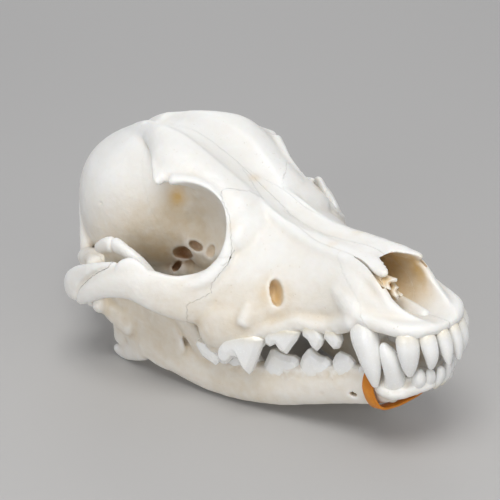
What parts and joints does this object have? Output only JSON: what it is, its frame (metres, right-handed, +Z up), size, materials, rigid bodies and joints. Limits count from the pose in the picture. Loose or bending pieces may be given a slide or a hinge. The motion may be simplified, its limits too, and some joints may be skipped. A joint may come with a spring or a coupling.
{
  "type": "dog skull",
  "caption": "Life-size dog skull with its lower jaw and teeth, mouth closed, and an elastic band round the front of the lower jaw.",
  "frame": {"origin": "middle of the skull's footprint on the surface that it rests on", "axes": "+X towards the nose, +Y to the animal's left, +Z up"},
  "size_m": [0.1734, 0.0974, 0.0833],
  "materials": {
    "bone": "dry cleaned bone, warm white",
    "rubber": "orange rubber band"
  },
  "bodies": {
    "root": {"arch_root_left": "bone", "arch_root_right": "bone", "braincase": "bone", "cheekbone_left": "bone", "cheekbone_right": "bone", "elastic_band": "rubber", "frontal_bone_left": "bone", "frontal_bone_right": "bone", "incisive_bone_left": "bone", "incisive_bone_right": "bone", "lower_jaw_left": "bone", "lower_jaw_right": "bone", "nasal_bone_left": "bone", "nasal_bone_right": "bone", "occipital_bone": "bone", "upper_jaw_left": "bone", "upper_jaw_right": "bone"}
  },
  "joints": []
}
